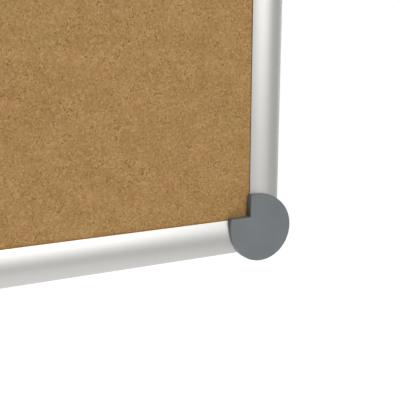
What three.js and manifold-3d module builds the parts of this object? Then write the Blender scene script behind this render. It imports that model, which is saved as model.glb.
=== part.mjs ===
// Framed cork notice board for wall fixing: a cork-faced panel held in four domed aluminium rails,
// joined by moulded corner brackets whose wall screws are hidden by round push-on corner caps.
// Millimetres, +Z up. The front faces -Y, and the board's back lies in the wall plane y = 0.
// Depths are measured forward from that plane, along -Y. Each corner is drawn as the top right one,
// from the frame's inner corner, where the edges of two rails would meet over the cork.

import * as THREE from "three";
import { mergeVertices } from "three/addons/utils/BufferGeometryUtils.js";
import Module from "manifold-3d";

// Board, over the outer sides of its rails
const boardWidth = 900;
const boardHeight = 600;

// Clearances
const fitGap = 0.3; // between pieces that seat in each other
const lipGap = 0.2; // between the cork and a rail's front lip
const glueLine = 0.3; // between the layers of the panel
const overrun = 1; // how far every cutting shape passes the piece that it cuts

// Panel, from the wall forward
const backingThickness = 0.8;
const coreThickness = 7;
const corkThickness = 3;
const panelInsert = 8; // how far the panel reaches into a rail, past the edge that shows

// Rail extrusion
const railWidth = 22; // from the edge that shows against the cork to the outer side
const railWall = 1.4;
const lipNose = 0.4; // thickness of the front lip at its edge
const crestInset = 9.7; // from the edge against the cork to the crest of the dome
const crestRise = 2.6; // of the crest in front of the cork
const railSideDepth = 6.7; // of the straight outer side
const shoulderRadius = 6.9; // between the outer side and the dome
const railFootRadius = 1; // between the outer side and the wall face
const backLipInset = 4; // the back lip stops this far short of the front lip's edge

// Corner cap
const capRadius = 19.7;
const capOffset = 6.2; // of the disc's centre from the frame's inner corner, outward both ways
const capEaseRadius = 23.1; // of the flatter stretches of the rim that run on to the notch
const capEaseShare = 0.74; // of the radius that lies between such a stretch's start and the centre line
const capRise = 4.4; // of the cap's face in front of the cork
const capPlate = 1.4;
const capSkirt = 1; // thickness of the cap's side wall
const capEdge = 0.7; // rounding between the face and the side wall
const capCornerRadius = 1.1; // at the two ends of the notch
const capNotchFillet = 0.9; // in the notch's inner corner
const pegRadius = 2;
const pegLength = 7;
const pegSlit = 0.8; // width of the slit that lets a peg spring
const pegSlitLength = 5.2;
const pegNose = 0.6; // taper at a peg's tip

// Corner bracket
const cornerRadius = 10.5; // of its outer corner, seen from the front
const bracketWall = 2;
const bracketFloor = 2.4;
const pegBossWall = 1.6;
const legLength = 30; // into each rail, from the rail's end
const legWall = 1.7;
const legTaperLength = 5;
const legTaperShare = 0.8; // of the leg's section that is left at its tip

// Wall screw's place in the bracket
const wallScrewInset = 9; // from the frame's outer sides
const wallBoreRadius = 3.2;
const wallRecessRadius = 5.2; // recess for the screw's head
const wallSeatDepth = 6; // of the head's seat
const wallBossWall = 1.3;

// Rail screws, countersunk in the backs of the rails
const railScrewInset = 17; // from the rail's end
const railScrewRadius = 1.45;
const railScrewHeadRadius = 2.7;
const railScrewHeadHeight = 1.4;
const railScrewLength = 9;
const railScrewTip = 2;
const railScrewSink = 0.1; // of the head's face behind the rail's back
const railScrewRecess = 1.1; // width of the driver recess
const railScrewRecessDepth = 1;

// Numbers of facets
const domeSteps = 10;
const shoulderSteps = 8;
const cornerSteps = 10;
const filletSteps = 3;
const capSteps = 42;
const capEaseSteps = 11;
const capEdgeSteps = 3;
const boreSides = 24;
const pegSides = 16;
const screwSides = 14;

// Distance under which vertices are taken as one
const weld = 0.0001;

// Depths that follow from the sizes
const backingBack = railWall + fitGap;
const coreBack = backingBack + backingThickness + glueLine;
const corkBack = coreBack + coreThickness + glueLine;
const corkFace = corkBack + corkThickness;
const lipBack = corkFace + lipGap;
const lipFront = lipBack + lipNose;
const crest = corkFace + crestRise;
const capFace = corkFace + capRise;
const capPlateBack = capFace - capPlate;
const capSkirtEnd = corkFace + fitGap;
const bracketFront = capPlateBack - fitGap;
const pegTip = capPlateBack - pegLength;

// Places that follow from the sizes, outward from the frame's inner corner
const channelFloor = panelInsert + fitGap;
const chamberStart = channelFloor + railWall;
const chamberEnd = railWidth - railWall;
const chamberCentre = (chamberStart + chamberEnd) / 2;
const capLap = capSkirt + fitGap; // of the cap's notch over the cork
const wallScrewPlace = railWidth - wallScrewInset;
const cornerCentre = railWidth - cornerRadius;
const socketRadius = pegRadius + fitGap;
const pegPlace = fitGap + bracketWall + socketRadius;

// The dome is an arc on each side of its crest. The inner arc ends at the lip's edge, and the outer one
// runs tangent into the shoulder.
const innerRise = crest - lipFront;
const innerDomeRadius = (crestInset ** 2 + innerRise ** 2) / (2 * innerRise);
const lipAngle = Math.PI - Math.acos(crestInset / innerDomeRadius);
const shoulderAcross = railWidth - shoulderRadius - crestInset;
const shoulderDrop = crest - railSideDepth;
const outerDomeRadius =
  (shoulderAcross ** 2 + shoulderDrop ** 2 - shoulderRadius ** 2) / (2 * (shoulderDrop - shoulderRadius));
const shoulderAngle = Math.atan2(outerDomeRadius - shoulderDrop, shoulderAcross);

const quarter = Math.PI / 2;
const sideNames = ["top", "right", "bottom", "left"];
const cornerNames = ["top_right", "bottom_right", "bottom_left", "top_left"];

const aluminium = new THREE.MeshStandardMaterial({ color: 0xc4c4c2, roughness: 0.38, metalness: 0.9 });
const greyPlastic = new THREE.MeshStandardMaterial({ color: 0x767b7e, roughness: 0.55, metalness: 0 });
const darkPlastic = new THREE.MeshStandardMaterial({ color: 0x5d6164, roughness: 0.6, metalness: 0 });
const cork = new THREE.MeshStandardMaterial({ color: 0xa58253, roughness: 0.9, metalness: 0 });
const fibreboard = new THREE.MeshStandardMaterial({ color: 0x9a8467, roughness: 0.95, metalness: 0 });
const backingPaper = new THREE.MeshStandardMaterial({ color: 0xb9b7b0, roughness: 0.8, metalness: 0 });
const zincSteel = new THREE.MeshStandardMaterial({ color: 0xb4b6b8, roughness: 0.35, metalness: 1 });

const wasm = await Module();
wasm.setup();

/** A closed geometry as a solid that can be cut and joined. */
function solidOf(geometry) {
  const bare = geometry.clone();
  bare.deleteAttribute("normal");
  bare.deleteAttribute("uv");
  const merged = mergeVertices(bare, weld);
  return new wasm.Manifold(
    new wasm.Mesh({
      numProp: 3,
      vertProperties: merged.attributes.position.array,
      triVerts: new Uint32Array(merged.index.array),
    }),
  );
}

/** A solid as a geometry again. */
function geometryOf(solid) {
  const mesh = solid.getMesh();
  const geometry = new THREE.BufferGeometry();
  geometry.setAttribute("position", new THREE.BufferAttribute(mesh.vertProperties, 3));
  geometry.setIndex(new THREE.BufferAttribute(mesh.triVerts, 1));
  geometry.computeVertexNormals();
  return geometry;
}

/** The mirror image of a solid across the corner's diagonal, where across and up change places. */
function mirrored(solid) {
  const swap = new THREE.Matrix4().makeBasis(
    new THREE.Vector3(0, 0, 1),
    new THREE.Vector3(0, 1, 0),
    new THREE.Vector3(1, 0, 0),
  );
  const geometry = geometryOf(solid).applyMatrix4(swap);
  const corners = geometry.index.array;
  for (let i = 0; i < corners.length; i += 3) {
    const first = corners[i];
    corners[i] = corners[i + 1];
    corners[i + 1] = first;
  }
  return solidOf(geometry);
}

function namedMesh(name, geometry, material) {
  const mesh = new THREE.Mesh(geometry, material);
  mesh.name = name;
  return mesh;
}

/** Points of an arc, its two ends included. */
function arc(x, y, radius, from, to, steps) {
  return Array.from({ length: steps + 1 }, (_, i) => {
    const angle = from + ((to - from) * i) / steps;
    return new THREE.Vector2(x + radius * Math.cos(angle), y + radius * Math.sin(angle));
  });
}

/** A front-view outline (across, up) made solid between two depths. */
function slab(outline, from, to) {
  const plain = { depth: to - from, bevelEnabled: false };
  const flat = new THREE.ExtrudeGeometry(new THREE.Shape(outline), plain);
  return solidOf(flat.translate(0, 0, from).rotateX(quarter));
}

/** A round post between two depths at a front-view place, with its own radius at the back if it tapers. */
function post(across, up, radius, from, to, sides, backRadius = radius) {
  const round = new THREE.CylinderGeometry(backRadius, radius, to - from, sides);
  return solidOf(round.translate(across, -(from + to) / 2, up));
}

/** A block between two front-view corners and two depths. */
function block(left, low, right, high, from, to) {
  const box = new THREE.BoxGeometry(right - left, to - from, high - low);
  return solidOf(box.translate((left + right) / 2, -(from + to) / 2, (low + high) / 2));
}

/** A rail section (outward, depth) swept along the top rail between two places across. */
function sweep(outline, from, to) {
  const plain = { depth: to - from, bevelEnabled: false };
  const swept = new THREE.ExtrudeGeometry(new THREE.Shape(outline), plain);
  const outward = new THREE.Vector3(0, 0, 1);
  const forward = new THREE.Vector3(0, -1, 0);
  const along = new THREE.Vector3(1, 0, 0);
  swept.translate(0, 0, from).applyMatrix4(new THREE.Matrix4().makeBasis(outward, forward, along));
  return swept;
}

/** The front of a rail from its outer side to the lip's edge, moved out of the metal by a distance. */
function domeLine(out) {
  const shoulder = arc(
    railWidth - shoulderRadius,
    railSideDepth,
    shoulderRadius + out,
    0,
    shoulderAngle,
    shoulderSteps,
  );
  const outer = arc(
    crestInset,
    crest - outerDomeRadius,
    outerDomeRadius + out,
    shoulderAngle,
    quarter,
    domeSteps,
  );
  const inner = arc(
    crestInset,
    crest - innerDomeRadius,
    innerDomeRadius + out,
    quarter,
    lipAngle,
    domeSteps,
  );
  return [...shoulder, ...outer.slice(1), ...inner.slice(1)];
}

/** The hollow of a rail, or the section of the leg that fills it with a clearance. */
function chamberLine(inset) {
  const start = chamberStart + inset;
  const dome = domeLine(-railWall - inset);
  const kept = dome.filter((point) => point.x > start);
  const before = kept[kept.length - 1];
  const after = dome[kept.length];
  const share = (before.x - start) / (before.x - after.x);
  return [
    new THREE.Vector2(start, railWall + inset),
    new THREE.Vector2(chamberEnd - inset, railWall + inset),
    ...kept,
    new THREE.Vector2(start, before.y + (after.y - before.y) * share),
  ];
}

/** The outer line of a rail's section: back lip, rounded foot, domed front and channel for the panel. */
function railLine() {
  return [
    new THREE.Vector2(backLipInset, 0),
    ...arc(railWidth - railFootRadius, railFootRadius, railFootRadius, -quarter, 0, filletSteps),
    ...domeLine(0),
    new THREE.Vector2(0, lipBack),
    new THREE.Vector2(channelFloor, lipBack),
    new THREE.Vector2(channelFloor, railWall),
    new THREE.Vector2(backLipInset, railWall),
  ];
}

/** One rail of the top: a length of the extrusion with a countersunk hole near each end. */
function railGeometry(length) {
  const half = length / 2;
  const bar = solidOf(sweep(railLine(), -half, half));
  const chamber = solidOf(sweep(chamberLine(0), -half - overrun, half + overrun));
  const sink = new THREE.LatheGeometry(
    [
      new THREE.Vector2(0, -railWall - overrun),
      new THREE.Vector2(railScrewRadius + fitGap, -railWall - overrun),
      new THREE.Vector2(railScrewRadius + fitGap, -railScrewSink - railScrewHeadHeight),
      new THREE.Vector2(railScrewHeadRadius + fitGap, -railScrewSink),
      new THREE.Vector2(railScrewHeadRadius + fitGap, overrun),
      new THREE.Vector2(0, overrun),
    ],
    screwSides,
  );
  const place = half - railScrewInset;
  const [left, right] = [-place, place].map((x) => solidOf(sink.clone().translate(x, 0, chamberCentre)));
  return geometryOf(bar.subtract(chamber).subtract(left).subtract(right));
}

/** A countersunk self-tapping screw with a cross recess, its head towards the wall. */
function railScrewGeometry() {
  const turned = new THREE.LatheGeometry(
    [
      new THREE.Vector2(0, -railScrewLength),
      new THREE.Vector2(railScrewRadius, -railScrewLength + railScrewTip),
      new THREE.Vector2(railScrewRadius, -railScrewSink - railScrewHeadHeight),
      new THREE.Vector2(railScrewHeadRadius, -railScrewSink),
      new THREE.Vector2(0, -railScrewSink),
    ],
    screwSides,
  );
  const reach = railScrewHeadRadius - railScrewRecess;
  const half = railScrewRecess / 2;
  const recess = block(-reach, -half, reach, half, -overrun, railScrewSink + railScrewRecessDepth);
  return geometryOf(solidOf(turned).subtract(recess).subtract(mirrored(recess)));
}

/**
 * Outline of the corner cap, drawn in by a distance: a disc less the quadrant over the cork. The rim
 * flattens towards the notch, where its two corners are rounded.
 */
function capOutline(inset) {
  const radius = capRadius - inset;
  const ease = capEaseRadius - inset;
  const spread = Math.asin(capEaseShare);
  const easeAcross = capOffset + (capEaseRadius - capRadius) * Math.cos(spread);
  const easeUp = capOffset - (capEaseRadius - capRadius) * capEaseShare;
  const notch = inset - capLap;
  const end = notch + capCornerRadius;
  const turn = Math.asin((easeUp - end) / (ease - capCornerRadius));
  const corner = easeAcross - (ease - capCornerRadius) * Math.cos(turn);
  const fillet = capNotchFillet + inset;
  return [
    ...arc(capOffset, capOffset, radius, spread - quarter, 2 * quarter - spread, capSteps),
    ...arc(easeAcross, easeUp, ease, 2 * quarter - spread, 2 * quarter + turn, capEaseSteps).slice(1),
    ...arc(corner, end, capCornerRadius, 2 * quarter + turn, 3 * quarter, filletSteps).slice(1),
    ...arc(notch - fillet, notch - fillet, fillet, quarter, 0, filletSteps),
    ...arc(end, corner, capCornerRadius, 2 * quarter, 3 * quarter - turn, filletSteps),
    ...arc(easeUp, easeAcross, ease, 3 * quarter - turn, 3 * quarter + spread, capEaseSteps).slice(1, -1),
  ];
}

/** What the cap's side wall has to clear along the top rail: the cork, the lip and the dome. */
function fittedOver() {
  const reach = capRadius + overrun;
  const line = [
    new THREE.Vector2(-reach, 0),
    new THREE.Vector2(railWidth + fitGap, 0),
    ...domeLine(fitGap),
    new THREE.Vector2(-fitGap, lipFront + fitGap),
    new THREE.Vector2(-fitGap, capSkirtEnd),
    new THREE.Vector2(-reach, capSkirtEnd),
  ];
  return solidOf(sweep(line, -reach, overrun));
}

/** A peg behind the cap's plate, with a slit across its end so that it springs in its socket. */
function peg(across, up) {
  const shoulder = pegTip + pegNose;
  const root = capPlateBack + capPlate / 2;
  const reach = pegRadius + overrun;
  const half = pegSlit / 2;
  const slit = block(
    across - reach,
    up - half,
    across + reach,
    up + half,
    pegTip - overrun,
    pegTip + pegSlitLength,
  );
  return post(across, up, pegRadius, shoulder, root, pegSides)
    .add(post(across, up, pegRadius, pegTip, shoulder, pegSides, pegRadius - pegNose))
    .subtract(slit);
}

/** The corner cap: a rounded shell with a side wall cut to sit over the rails, and two pegs. */
function capGeometry() {
  const back = capSkirtEnd - overrun;
  const shell = new THREE.ExtrudeGeometry(new THREE.Shape(capOutline(0)), {
    depth: capFace - capEdge - back,
    bevelThickness: capEdge,
    bevelSize: capEdge,
    bevelOffset: -capEdge,
    bevelSegments: capEdgeSteps,
  });
  const reach = capRadius + capOffset + overrun;
  const behind = block(-reach, -reach, reach, reach, back - capEdge - overrun, capSkirtEnd);
  const hollow = slab(capOutline(capSkirt), back, capPlateBack);
  const over = fittedOver();
  const pin = peg(chamberCentre, pegPlace);
  const whole = solidOf(shell.translate(0, 0, back).rotateX(quarter))
    .subtract(hollow)
    .subtract(behind)
    .subtract(over)
    .subtract(mirrored(over))
    .add(pin)
    .add(mirrored(pin));
  return geometryOf(whole);
}

/** The bracket's leg in the top rail: a trough open to the front, with a screw boss and a tapered tip. */
function bracketLeg() {
  const straight = legLength - legTaperLength;
  const line = chamberLine(fitGap);
  const body = solidOf(sweep(line, -straight, fitGap + bracketWall));
  const tip = sweep(line, -legLength, -straight);
  narrowTip(tip);
  const floor = railWall + fitGap + legWall;
  const low = chamberStart + fitGap + legWall;
  const high = chamberEnd - fitGap - legWall;
  const trough = block(-straight, low, -legWall, high, floor, crest);
  const pilotRadius = railScrewRadius + fitGap;
  const pilotEnd = railScrewLength + fitGap;
  const bossFront = pilotEnd + legWall;
  const bossBack = floor - legWall / 2;
  const web = block(
    -railScrewInset - legWall / 2,
    low - legWall / 2,
    -railScrewInset + legWall / 2,
    high + legWall / 2,
    bossBack,
    bossFront,
  );
  const boss = post(-railScrewInset, chamberCentre, pilotRadius + legWall, bossBack, bossFront, boreSides);
  const pilot = post(-railScrewInset, chamberCentre, pilotRadius, 0, pilotEnd, screwSides);
  return body
    .subtract(trough)
    .add(boss.add(web).intersect(body))
    .add(solidOf(tip))
    .subtract(pilot);
}

/** Draws the far end of a leg's tip in towards the middle of its section. */
function narrowTip(geometry) {
  const middle = new THREE.Vector3(-legLength, -(railWall + railSideDepth) / 2, chamberCentre);
  const position = geometry.attributes.position;
  const point = new THREE.Vector3();
  for (let i = 0; i < position.count; i += 1) {
    point.fromBufferAttribute(position, i);
    if (point.x < weld - legLength) {
      point.sub(middle).multiplyScalar(legTaperShare).add(middle);
      position.setXYZ(i, point.x, point.y, point.z);
    }
  }
}

/** Front-view outline of the bracket's body, drawn in by a distance. */
function bracketOutline(inset) {
  const near = fitGap + inset;
  const far = railWidth - inset;
  return [
    new THREE.Vector2(near, near),
    new THREE.Vector2(far, near),
    ...arc(cornerCentre, cornerCentre, cornerRadius - inset, 0, quarter, cornerSteps),
    new THREE.Vector2(near, far),
  ];
}

/** The corner bracket: cored body, pocket for the panel's corner, screw boss, peg sockets and two legs. */
function bracketGeometry() {
  const front = bracketFront + overrun;
  const boss = (radius, from) => post(wallScrewPlace, wallScrewPlace, radius, from, front, boreSides);
  const socket = (radius, from) => post(chamberCentre, pegPlace, radius, from, front, pegSides);
  const pocket = (wall, from) => {
    const reach = channelFloor + wall;
    return block(-overrun, -overrun, reach, reach, from, front);
  };
  const socketBoss = socket(socketRadius + pegBossWall, 0);
  const core = slab(bracketOutline(bracketWall), bracketFloor, front)
    .subtract(pocket(bracketWall, 0))
    .subtract(boss(wallRecessRadius + wallBossWall, 0))
    .subtract(socketBoss)
    .subtract(mirrored(socketBoss));
  const underCap = slab(capOutline(capSkirt + fitGap), capSkirtEnd - fitGap - overrun, bracketFront);
  const body = slab(bracketOutline(0), 0, capSkirtEnd - fitGap)
    .add(slab(bracketOutline(0), capSkirtEnd - fitGap - overrun, bracketFront).intersect(underCap))
    .subtract(core);
  const leg = bracketLeg();
  const well = socket(socketRadius, pegTip - fitGap);
  return geometryOf(
    body
      .add(leg)
      .add(mirrored(leg))
      .subtract(pocket(0, railWall))
      .subtract(boss(wallRecessRadius, wallSeatDepth))
      .subtract(boss(wallBoreRadius, -overrun))
      .subtract(well)
      .subtract(mirrored(well)),
  );
}

/** A layer of the panel, centred on the board. */
function panelLayer(back, thickness) {
  const inset = railWidth - panelInsert;
  const across = boardWidth / 2 - inset;
  const up = boardHeight / 2 - inset;
  return geometryOf(block(-across, -up, across, up, back, back + thickness));
}

const corkBoard = new THREE.Group();
corkBoard.add(
  namedMesh("backing_sheet", panelLayer(backingBack, backingThickness), backingPaper),
  namedMesh("core_board", panelLayer(coreBack, coreThickness), fibreboard),
  namedMesh("cork_sheet", panelLayer(corkBack, corkThickness), cork),
);

// Each side is the top side turned about the board's depth, with the rail of its own length.
const halfAcross = boardWidth / 2 - railWidth;
const halfUp = boardHeight / 2 - railWidth;
const railShapes = [railGeometry(2 * halfAcross), railGeometry(2 * halfUp)];
const railScrew = railScrewGeometry();
sideNames.forEach((name, i) => {
  const side = new THREE.Group();
  side.rotation.y = i * quarter;
  const [half, reach] = i % 2 === 0 ? [halfAcross, halfUp] : [halfUp, halfAcross];
  const rail = namedMesh(`rail_${name}`, railShapes[i % 2], aluminium);
  rail.position.z = reach;
  side.add(rail);
  [railScrewInset - half, half - railScrewInset].forEach((place, end) => {
    const screw = namedMesh(`rail_screw_${name}_${end + 1}`, railScrew, zincSteel);
    screw.position.set(place, 0, reach + chamberCentre);
    side.add(screw);
  });
  corkBoard.add(side);
});

// Each corner is the top right one turned about the board's depth.
const bracket = bracketGeometry();
const cap = capGeometry();
cornerNames.forEach((name, i) => {
  const corner = new THREE.Group();
  corner.rotation.y = i * quarter;
  corner.position.x = i < 2 ? halfAcross : -halfAcross;
  corner.position.z = i % 3 === 0 ? halfUp : -halfUp;
  corner.add(
    namedMesh(`corner_bracket_${name}`, bracket, darkPlastic),
    namedMesh(`corner_cap_${name}`, cap, greyPlastic),
  );
  corkBoard.add(corner);
});

export default corkBoard;
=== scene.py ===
"""Looks, light and camera of a framed cork notice board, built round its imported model.

Lengths are in metres, angles in degrees and colours in sRGB from 0 to 255, unless a comment says
otherwise. A tone list gives a colour for each place on a scale of 0 to 1.
"""
import math

import bpy
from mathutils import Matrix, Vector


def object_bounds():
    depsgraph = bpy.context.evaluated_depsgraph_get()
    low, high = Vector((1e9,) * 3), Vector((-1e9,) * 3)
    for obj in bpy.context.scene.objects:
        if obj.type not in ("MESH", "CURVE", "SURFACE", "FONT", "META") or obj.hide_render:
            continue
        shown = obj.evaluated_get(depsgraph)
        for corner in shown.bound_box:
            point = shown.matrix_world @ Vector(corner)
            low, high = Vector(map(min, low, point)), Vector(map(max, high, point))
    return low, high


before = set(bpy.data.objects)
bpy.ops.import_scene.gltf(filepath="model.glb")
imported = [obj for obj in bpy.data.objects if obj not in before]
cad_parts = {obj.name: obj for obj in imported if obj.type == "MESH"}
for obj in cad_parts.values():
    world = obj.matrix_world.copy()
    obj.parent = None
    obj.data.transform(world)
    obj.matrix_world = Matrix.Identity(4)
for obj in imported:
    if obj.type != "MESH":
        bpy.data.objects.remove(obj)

CAD_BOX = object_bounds()

# Camera, level, turned to the right and down
CAMERA_PLACE = (0.2323, -0.3405, -0.1798)
CAMERA_TURN = 26.557
CAMERA_DIP = 12.978
CAMERA_LENS = 60.39  # millimetres
CAMERA_SENSOR = 36.0  # millimetres
CAMERA_NEAREST = 0.01  # nothing shows that is nearer

# Floor
FLOOR_DROP = 0.95  # below the board's lowest point
FLOOR_RADIUS = 9.0
FLOOR_SIDES = 96
FLOOR_COLOUR = (218, 218, 216)
FLOOR_ROUGHNESS = 0.9
FLOOR_SPECULAR = 0.1
FLOOR_GLOW = 0.97  # with the shade, what the floor shows to the camera
FLOOR_SHADE = 0.2

# Soft lamps: name, place, tilt up from straight down and turn, width and height, and brightness,
# of which 1 shows as white
LAMPS = (
    ("front", (0.814, -2.177, 0.914), (61.5, 10.1), (1.49, 2.6), 4.83),
    ("low", (0.459, -0.216, -1.245), (180.0, 0.0), (1.02, 2.0), 0.72),
    ("side", (2.483, 0.755, -0.113), (85.7, 110.5), (0.41, 1.0), 1.95),
    ("left", (-0.335, -0.219, -0.854), (125.0, -75.0), (0.9, 0.9), 1.6),
    ("back", (-0.9, 2.4, 0.9), (70.0, 200.0), (2.0, 2.0), 4.0),
)
WORLD_LIGHT = 0.12  # of the sky that lights the object
WORLD_WHITE = 1.0  # of the sky that shows in the picture, in metal and in glass

# Shading of the meshes
WELD = 0.00001  # distance under which vertices are one
SHARP_ANGLE = 32.0  # between two faces that meet in a true edge

# Cork
GRANULE_RATE = 940.0  # granules along a metre
GRANULE_TONES = (
    (0.0, (117, 82, 40)),
    (0.25, (152, 117, 69)),
    (0.75, (169, 134, 85)),
    (1.0, (202, 167, 117)),
)
DUST_RATE = 1800.0  # finer grains along a metre
DUST_TONES = ((0.0, (121, 86, 43)), (0.5, (159, 123, 75)), (1.0, (194, 159, 109)))
DUST_SHARE = 0.45
DRIFT_RATE = 420.0  # bends along a metre in the outlines of the grains
DRIFT_REACH = 0.0012
WARM_SIZE = 0.012  # of the soft patches of warm and cool brown
WARM_TONES = ((0.35, (161, 118, 79)), (0.65, (151, 126, 67)))
WARM_SHARE = 0.3
PALE_SIZE = 0.01  # of the soft patches of dark and pale brown
PALE_TONES = ((0.35, (140, 105, 58)), (0.65, (175, 140, 91)))
PALE_SHARE = 0.25
SPECK_COLOUR = (127, 91, 49)
SPECK_CHOICE = (0.85, 0.88)  # where on a scale of 0 to 1 a fine grain turns into a speck
SPECK_CLUSTER_SIZE = 0.005
SPECK_CLUSTER_RANGE = (0.42, 0.58)  # of the noise over which the specks come in
PAINTED_SHADE_REACH = 0.009  # of the painted shade: the cork's colour darkened near rails and caps
PAINTED_SHADE_SHARE = 0.5
CORK_ROUGHNESS = (0.82, 0.95)
CORK_SPECULAR = 0.25
CORK_BUMP = (-0.00012, 0.6)  # depth and strength, with the middle of each grain on top

# Aluminium, whose grey tone the rails give
ALUMINIUM_TINTS = ((-2, -3, -6), (2, 1, -1))  # of its dull and bright places, on the tone
LINE_WIDTH = 0.00035  # of the extrusion lines
LINE_STRETCH = 900  # length, in widths
LINE_ROUGHNESS = (0.435, 0.475)
LINE_BUMP = (0.00001, 0.15)  # depth and strength, as in the others
SHEEN_SIZE = 0.03  # of the soft clouds on the metal
SHEEN_STRETCH = 4  # length, in widths
SHEEN_SHARE = 0.3
LEVEL_RAIL_TONE = 159
UPRIGHT_RAIL_TONE = 157

# Moulded plastic
GRIT_SIZE = 0.00035
GRIT_SPREAD = 2  # of the colour's channels, up and down
GRIT_BUMP = (0.00003, 0.35)
HAZE_SIZE = 0.02  # of the soft clouds on the plastic
HAZE_SPREAD = 7
PLASTIC_SPECULAR = 0.35
PLASTIC_ROUGHNESS_SPREAD = 0.05
CAP_COLOUR = (102, 107, 110)
CAP_ROUGHNESS = 0.5
BRACKET_COLOUR = (93, 97, 100)
BRACKET_ROUGHNESS = 0.6

# Softboard
STRAND_SIZE = 0.0006
STRAND_STRETCH = (6, 1, 1)
STRAND_TONES = ((0.25, (128, 104, 74)), (0.75, (186, 164, 130)))
STRAND_BUMP = (0.0002, 0.6)
CLUMP_SIZE = 0.004
CLUMP_TONES = ((0.3, (140, 118, 88)), (0.7, (170, 148, 114)))
SOFTBOARD_ROUGHNESS = 0.95

# Backing board
FELT_SIZE = 0.0007
FELT_STRETCH = (3, 1, 1)
FELT_TONES = ((0.3, (176, 173, 165)), (0.7, (190, 188, 181)))
FELT_BUMP = (0.00005, 0.5)
PULP_SIZE = 0.02
PULP_TONES = ((0.3, (178, 175, 167)), (0.7, (189, 187, 180)))
FLECK_RATE = 260.0  # places for a fleck along a metre
FLECK_RADIUS = 0.22  # of the distance between two places
FLECK_CHOICE = (0.93, 0.94)  # where on a scale of 0 to 1 a place starts to have a fleck
FLECK_COLOUR = (140, 130, 114)
BACKING_ROUGHNESS = 0.85
BACKING_SPECULAR = 0.3

# Zinc plate
ZINC_CLOUD_SIZE = 0.0012
ZINC_TONES = ((0.3, (182, 186, 190)), (0.7, (204, 206, 206)))
ZINC_METALLIC = 0.9
ZINC_ROUGHNESS = (0.28, 0.4)
ZINC_BUMP = (0.00002, 0.3)

# Any material
NOISE_RANGE = (0.3, 0.7)  # where nearly all values of a noise lie
EVENLY = 0.5  # share of two patterns alike


def linear(rgb):
    """An sRGB colour of 0 to 255 as the linear colour that a shader takes."""
    def channel(value):
        share = value / 255
        return share / 12.92 if share <= 0.04045 else ((share + 0.055) / 1.055) ** 2.4
    return (*(channel(v) for v in rgb), 1.0)


class Nodes:
    """A new material and short ways to add nodes to it."""

    def __init__(self, name):
        self.material = bpy.data.materials.new(name)
        self.material.use_nodes = True
        self.tree = self.material.node_tree
        self.shader = self.tree.nodes["Principled BSDF"]
        self.place = self.add("TexCoord").outputs["Object"]

    def add(self, kind, inputs=None, **settings):
        """A new node with its inputs and settings."""
        node = self.tree.nodes.new("ShaderNode" + kind)
        for key, value in settings.items():
            setattr(node, key, value)
        for key, value in (inputs or {}).items():
            self.put(node.inputs[key], value)
        return node

    def put(self, socket, value):
        """Links an output to a socket, or sets the socket's own value."""
        if isinstance(value, bpy.types.NodeSocket):
            self.tree.links.new(value, socket)
        else:
            socket.default_value = value

    def scaled(self, scale):
        """The place on the object, times a scale on each axis."""
        return self.add("Mapping", {"Vector": self.place, "Scale": scale}).outputs["Vector"]

    def noise(self, size, detail=2.0, roughness=0.5, stretch=(1, 1, 1), warp=0.0):
        """Noise whose features are about a size across, times a stretch on each axis."""
        values = {
            "Vector": self.scaled(tuple(1 / (size * s) for s in stretch)),
            "Scale": 1.0,
            "Detail": detail,
            "Roughness": roughness,
            "Distortion": warp,
        }
        return self.add("TexNoise", values).outputs["Fac"]

    def cells(self, where, rate):
        """Cells that number a rate along a metre, and their random colours' channels."""
        cell = self.add("TexVoronoi", {"Vector": where, "Scale": rate})
        split = self.add("SeparateColor", {"Color": cell.outputs["Color"]})
        return cell.outputs["Distance"], split.outputs

    def math(self, operation, first, second):
        return self.add("Math", {0: first, 1: second}, operation=operation).outputs[0]

    def ramp(self, factor, tones):
        """The colour that a tone list gives for a factor."""
        node = self.add("ValToRGB", {"Fac": factor})
        elements = node.color_ramp.elements
        while len(elements) < len(tones):
            elements.new(0.5)
        for element, (at, colour) in zip(elements, tones):
            element.position = at
            element.color = linear(colour)
        return node.outputs["Color"]

    def level(self, factor, old, new=(0.0, 1.0)):
        """A value of an old range moved to a new one, and kept inside it."""
        values = {
            "Value": factor,
            "From Min": old[0],
            "From Max": old[1],
            "To Min": new[0],
            "To Max": new[1],
        }
        return self.add("MapRange", values).outputs["Result"]

    def mix(self, factor, first, second, blend="MIX"):
        """The first colour, with a share of the second mixed in."""
        node = self.add("Mix", data_type="RGBA", blend_type=blend)
        for name, value in (("Factor_Float", factor), ("A_Color", first), ("B_Color", second)):
            socket = next(s for s in node.inputs if s.identifier == name)
            self.put(socket, value)
        return next(s for s in node.outputs if s.identifier == "Result_Color")

    def bump(self, height, depth, strength):
        values = {"Height": height, "Distance": depth, "Strength": strength}
        return self.add("Bump", values).outputs["Normal"]

    def finish(self, **inputs):
        """Sets the shader's own sockets and returns the material."""
        for key, value in inputs.items():
            self.put(self.shader.inputs[key.replace("_", " ")], value)
        return self.material


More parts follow.
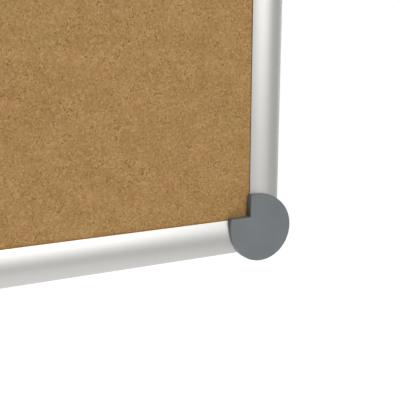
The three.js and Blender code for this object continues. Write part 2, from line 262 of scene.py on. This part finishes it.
def cork():
    """Pressed cork granules in soft warm and pale patches, with small dark specks, and shade
    painted into the colour beside rails and caps.
    """
    n = Nodes("cork")
    drift = n.add("TexNoise", {"Vector": n.scaled((DRIFT_RATE,) * 3), "Scale": 1.0, "Detail": 2.0})
    reach = {0: drift.outputs["Color"], 1: (DRIFT_REACH,) * 3}
    bent = n.add("VectorMath", reach, operation="MULTIPLY").outputs[0]
    where = n.add("VectorMath", {0: n.place, 1: bent}, operation="ADD").outputs[0]
    grain, tint = n.cells(where, GRANULE_RATE)
    fine, small = n.cells(where, DUST_RATE)
    body = n.ramp(tint["Red"], GRANULE_TONES)
    dust = n.ramp(small["Green"], DUST_TONES)
    warm = n.ramp(n.noise(WARM_SIZE), WARM_TONES)
    pale = n.ramp(n.noise(PALE_SIZE), PALE_TONES)
    colour = n.mix(DUST_SHARE, body, dust)
    colour = n.mix(WARM_SHARE, colour, warm)
    colour = n.mix(PALE_SHARE, colour, pale)
    chosen = n.level(small["Blue"], SPECK_CHOICE)
    clusters = n.level(n.noise(SPECK_CLUSTER_SIZE), SPECK_CLUSTER_RANGE)
    specks = n.math("MULTIPLY", chosen, clusters)
    colour = n.mix(specks, colour, linear(SPECK_COLOUR))
    # painted shade: an occlusion pass darkens the cork's colour where rails and caps stand close
    # over it
    painted_shade = n.add("AmbientOcclusion", {"Distance": PAINTED_SHADE_REACH}).outputs["Color"]
    return n.finish(
        Base_Color=n.mix(PAINTED_SHADE_SHARE, colour, painted_shade, "MULTIPLY"),
        Roughness=n.level(small["Red"], (0.0, 1.0), CORK_ROUGHNESS),
        Specular_IOR_Level=CORK_SPECULAR,
        Normal=n.bump(n.math("ADD", grain, fine), *CORK_BUMP),
    )


def aluminium(along, tone):
    """Satin anodised aluminium of a grey tone, with faint extrusion lines along one axis."""
    n = Nodes("aluminium_along_" + along)
    def stretched(times):
        return tuple(times if axis == along else 1 for axis in "xyz")
    lines = n.noise(LINE_WIDTH, detail=3.0, roughness=0.6, stretch=stretched(LINE_STRETCH))
    clouds = n.noise(SHEEN_SIZE, stretch=stretched(SHEEN_STRETCH))
    colours = (tuple(tone + t for t in tint) for tint in ALUMINIUM_TINTS)
    tones = tuple(zip(NOISE_RANGE, colours))
    return n.finish(
        Base_Color=n.mix(SHEEN_SHARE, n.ramp(lines, tones), n.ramp(clouds, tones)),
        Metallic=1.0,
        Roughness=n.level(lines, NOISE_RANGE, LINE_ROUGHNESS),
        Normal=n.bump(lines, *LINE_BUMP),
    )


def moulded(name, colour, roughness):
    """Matt plastic with a spark-eroded texture."""
    n = Nodes(name)
    grit = n.noise(GRIT_SIZE, roughness=0.6)
    haze = n.noise(HAZE_SIZE)
    def spread(pattern, reach):
        colours = (tuple(v + way * reach for v in colour) for way in (-1, 1))
        return n.ramp(pattern, tuple(zip(NOISE_RANGE, colours)))
    rough = (roughness - PLASTIC_ROUGHNESS_SPREAD, roughness + PLASTIC_ROUGHNESS_SPREAD)
    return n.finish(
        Base_Color=n.mix(EVENLY, spread(grit, GRIT_SPREAD), spread(haze, HAZE_SPREAD)),
        Roughness=n.level(grit, NOISE_RANGE, rough),
        Specular_IOR_Level=PLASTIC_SPECULAR,
        Normal=n.bump(grit, *GRIT_BUMP),
    )


def softboard():
    """Pressed wood fibre: short pale and brown strands."""
    n = Nodes("softboard")
    strands = n.noise(STRAND_SIZE, detail=4.0, roughness=0.7, stretch=STRAND_STRETCH, warp=0.8)
    clumps = n.noise(CLUMP_SIZE, detail=3.0, roughness=0.6)
    return n.finish(
        Base_Color=n.mix(EVENLY, n.ramp(strands, STRAND_TONES), n.ramp(clumps, CLUMP_TONES)),
        Roughness=SOFTBOARD_ROUGHNESS,
        Normal=n.bump(strands, *STRAND_BUMP),
    )


def backing():
    """Grey-white board with a faint felt mark and a few flecks of fibre."""
    n = Nodes("backing")
    felt = n.noise(FELT_SIZE, detail=4.0, roughness=0.7, stretch=FELT_STRETCH, warp=0.4)
    pulp = n.noise(PULP_SIZE, detail=3.0)
    distance, chance = n.cells(n.place, FLECK_RATE)
    spots = n.level(distance, (0.0, FLECK_RADIUS), (1.0, 0.0))
    flecks = n.math("MULTIPLY", spots, n.level(chance["Red"], FLECK_CHOICE))
    colour = n.mix(EVENLY, n.ramp(felt, FELT_TONES), n.ramp(pulp, PULP_TONES))
    return n.finish(
        Base_Color=n.mix(flecks, colour, linear(FLECK_COLOUR)),
        Roughness=BACKING_ROUGHNESS,
        Specular_IOR_Level=BACKING_SPECULAR,
        Normal=n.bump(felt, *FELT_BUMP),
    )


def zinc():
    """Bright zinc plate, faintly blue, with a cloudy sheen."""
    n = Nodes("zinc")
    clouds = n.noise(ZINC_CLOUD_SIZE, detail=3.0)
    return n.finish(
        Base_Color=n.ramp(clouds, ZINC_TONES),
        Metallic=ZINC_METALLIC,
        Roughness=n.level(clouds, NOISE_RANGE, ZINC_ROUGHNESS),
        Normal=n.bump(clouds, *ZINC_BUMP),
    )


def white_sky(tree, lit, shown):
    """Mixes a lit surface with what shows to the rays that see the background."""
    rays = tree.nodes.new("ShaderNodeLightPath")
    seeing = rays.outputs["Is Camera Ray"]
    for name in ("Is Glossy Ray", "Is Transmission Ray"):
        either = tree.nodes.new("ShaderNodeMath")
        either.operation = "MAXIMUM"
        tree.links.new(seeing, either.inputs[0])
        tree.links.new(rays.outputs[name], either.inputs[1])
        seeing = either.outputs[0]
    mix = tree.nodes.new("ShaderNodeMixShader")
    for socket, output in zip(mix.inputs, (seeing, lit, shown)):
        tree.links.new(output, socket)
    return mix.outputs[0]


def make_world():
    """A dim sky that lights the object, and a white one that shows."""
    world = bpy.data.worlds.new("white_room")
    world.use_nodes = True
    tree = world.node_tree
    tree.nodes.clear()
    skies = []
    for strength in (WORLD_LIGHT, WORLD_WHITE):
        sky = tree.nodes.new("ShaderNodeBackground")
        sky.inputs["Color"].default_value = (1, 1, 1, 1)
        sky.inputs["Strength"].default_value = strength
        skies.append(sky.outputs[0])
    out = tree.nodes.new("ShaderNodeOutputWorld")
    tree.links.new(white_sky(tree, *skies), out.inputs["Surface"])
    bpy.context.scene.world = world


def make_floor():
    """A round pale floor well below the board, which shows as white where no shadow falls."""
    bpy.ops.mesh.primitive_circle_add(
        vertices=FLOOR_SIDES,
        radius=FLOOR_RADIUS,
        fill_type="NGON",
        location=(0, 0, CAD_BOX[0].z - FLOOR_DROP),
    )
    floor = bpy.context.object
    floor.name = "floor"
    n = Nodes("floor_paint")
    n.finish(
        Base_Color=linear(FLOOR_COLOUR),
        Roughness=FLOOR_ROUGHNESS,
        Specular_IOR_Level=FLOOR_SPECULAR,
    )
    shade = n.add("BsdfDiffuse", {"Color": (*(FLOOR_SHADE,) * 3, 1.0)}).outputs[0]
    glow = n.add("Emission", {"Strength": FLOOR_GLOW}).outputs[0]
    shown = n.add("AddShader", {0: shade, 1: glow}).outputs[0]
    out = n.tree.nodes["Material Output"]
    n.put(out.inputs["Surface"], white_sky(n.tree, n.shader.outputs[0], shown))
    floor.data.materials.append(n.material)


def place_in_scene(thing, place, tilt, turn):
    """Puts a lamp or camera at a place, tilted up from straight down and turned to the left."""
    thing.location = place
    thing.rotation_euler = (math.radians(tilt), 0.0, math.radians(turn))
    bpy.context.scene.collection.objects.link(thing)


def make_lamp(name, place, angles, size, brightness):
    data = bpy.data.lights.new(name + "_lamp", "AREA")
    data.shape = "RECTANGLE"
    data.size, data.size_y = size
    data.energy = brightness * math.pi * data.size * data.size_y
    place_in_scene(bpy.data.objects.new(name + "_lamp", data), place, *angles)


def make_camera():
    data = bpy.data.cameras.new("camera")
    data.lens = CAMERA_LENS
    data.sensor_width = CAMERA_SENSOR
    data.clip_start = CAMERA_NEAREST
    camera = bpy.data.objects.new("camera", data)
    place_in_scene(camera, CAMERA_PLACE, 90 - CAMERA_DIP, -CAMERA_TURN)
    bpy.context.scene.camera = camera


def dress():
    """Gives every node its material."""
    level_rail = aluminium("x", LEVEL_RAIL_TONE)
    upright_rail = aluminium("z", UPRIGHT_RAIL_TONE)
    finishes = {
        "cork_sheet": cork(),
        "core_board": softboard(),
        "backing_sheet": backing(),
        "rail_screw": zinc(),
        "rail_top": level_rail,
        "rail_bottom": level_rail,
        "rail_left": upright_rail,
        "rail_right": upright_rail,
        "corner_bracket": moulded("bracket_plastic", BRACKET_COLOUR, BRACKET_ROUGHNESS),
        "corner_cap": moulded("cap_plastic", CAP_COLOUR, CAP_ROUGHNESS),
    }
    for name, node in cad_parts.items():
        finish = next(f for start, f in finishes.items() if name.startswith(start))
        node.material_slots[0].material = finish


def smoothing():
    """Node group that joins a mesh's facets and shades it smooth but for edges past an angle."""
    group = bpy.data.node_groups.new("smoothing", "GeometryNodeTree")
    for way in ("INPUT", "OUTPUT"):
        group.interface.new_socket("Geometry", in_out=way, socket_type="NodeSocketGeometry")
    new = group.nodes.new
    link = group.links.new
    start, end = new("NodeGroupInput"), new("NodeGroupOutput")
    bare = new("GeometryNodeRemoveAttribute")
    bare.inputs["Name"].default_value = "custom_normal"
    weld = new("GeometryNodeMergeByDistance")
    weld.inputs["Distance"].default_value = WELD
    round_faces = new("GeometryNodeSetShadeSmooth")
    angle = new("GeometryNodeInputMeshEdgeAngle")
    past = new("FunctionNodeCompare")
    past.inputs[1].default_value = math.radians(SHARP_ANGLE)
    sharp = new("GeometryNodeSetShadeSmooth")
    sharp.domain = "EDGE"
    sharp.inputs["Shade Smooth"].default_value = False
    link(start.outputs[0], bare.inputs["Geometry"])
    link(bare.outputs[0], weld.inputs["Geometry"])
    link(weld.outputs[0], round_faces.inputs["Geometry"])
    link(round_faces.outputs[0], sharp.inputs["Geometry"])
    link(angle.outputs["Unsigned Angle"], past.inputs[0])
    link(past.outputs[0], sharp.inputs["Selection"])
    link(sharp.outputs[0], end.inputs[0])
    return group


def smooth():
    """Shades the round faces of every node smooth, and keeps its flat faces flat."""
    group = smoothing()
    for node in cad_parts.values():
        node.modifiers.new("smoothing", "NODES").node_group = group
        node.modifiers.new("flat_faces", "WEIGHTED_NORMAL").keep_sharp = True


make_world()
make_floor()
for lamp in LAMPS:
    make_lamp(*lamp)
make_camera()
dress()
smooth()
bpy.context.scene.view_settings.view_transform = "Standard"
